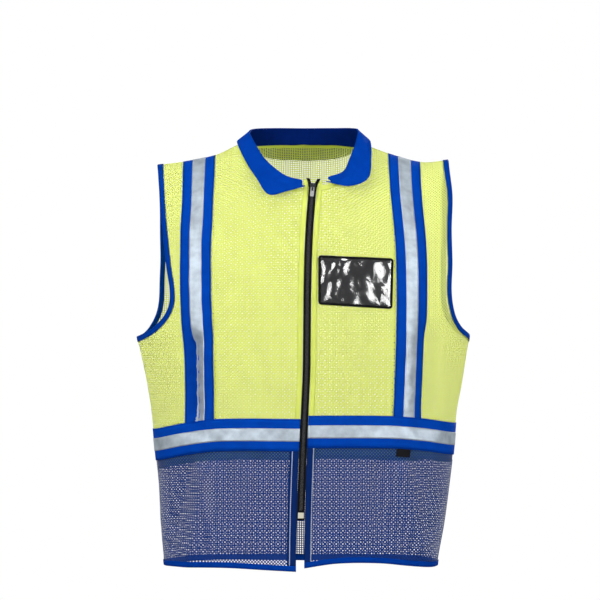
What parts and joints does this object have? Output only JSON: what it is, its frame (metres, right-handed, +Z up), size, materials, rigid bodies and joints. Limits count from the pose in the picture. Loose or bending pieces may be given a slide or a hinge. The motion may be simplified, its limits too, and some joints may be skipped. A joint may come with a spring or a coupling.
{
  "type": "mesh reflective work vest",
  "caption": "Worn-shape sleeveless mesh work vest with lime yokes, navy skirts, blue tapes with silver stripes, collar, front zip and clear card pocket.",
  "frame": {"origin": "middle of the neck opening, level with the side neck points where the vest rests on the shoulders", "axes": "+X towards the wearer's left, -Y the front, +Z up"},
  "size_m": [0.5195, 0.2534, 0.6882],
  "materials": {
    "lime_mesh": "open knitted mesh",
    "navy_mesh": "open knitted mesh",
    "blue_tape": "woven tape",
    "blue_binding": "folded binding tape",
    "blue_collar": "fine knit",
    "silver_stripe": "retroreflective coating",
    "black_tape": "woven tape",
    "black_cloth": "plain weave",
    "zip_coil": "moulded coil",
    "zip_stop": "smooth",
    "zip_metal": "dark enamel",
    "zip_pull": "bright plated",
    "clear_vinyl": "clear glossy film"
  },
  "bodies": {
    "vest": {"front_yoke_left": "lime_mesh", "front_yoke_right": "lime_mesh", "front_side_yoke_left": "lime_mesh", "front_side_yoke_right": "lime_mesh", "back_yoke": "lime_mesh", "back_side_yoke_left": "lime_mesh", "back_side_yoke_right": "lime_mesh", "front_skirt_left": "navy_mesh", "front_skirt_right": "navy_mesh", "back_skirt": "navy_mesh", "front_facing_left": "blue_tape", "front_facing_right": "blue_tape", "waist_band_left": "blue_tape", "waist_band_right": "blue_tape", "waist_band_back": "blue_tape", "shoulder_tape_left": "blue_tape", "shoulder_tape_right": "blue_tape", "waist_stripe_left": "silver_stripe", "waist_stripe_right": "silver_stripe", "waist_stripe_back": "silver_stripe", "shoulder_stripe_left": "silver_stripe", "shoulder_stripe_right": "silver_stripe", "armhole_binding_left": "blue_binding", "armhole_binding_right": "blue_binding", "hem_binding_left": "blue_binding", "hem_binding_right": "blue_binding", "hem_binding_back": "blue_binding", "collar": "blue_collar", "zip_tape": "black_tape", "zip_coil": "zip_coil", "zip_stop": "zip_stop", "zip_slider": "zip_metal", "zip_bridge": "zip_metal", "pocket_back": "black_cloth", "pocket_window": "clear_vinyl", "pocket_rim": "black_tape", "side_tag": "black_cloth"},
    "zip_pull": {"zip_pull": "zip_pull"}
  },
  "joints": [
    {"name": "zip_pull_hinge", "type": "hinge", "parent": "vest", "child": "zip_pull", "pos_m": [0.01341, -0.0979, -0.06655], "axis": [-0.9963, 0.0154, 0.0845], "range_deg": [0, 140]}
  ]
}
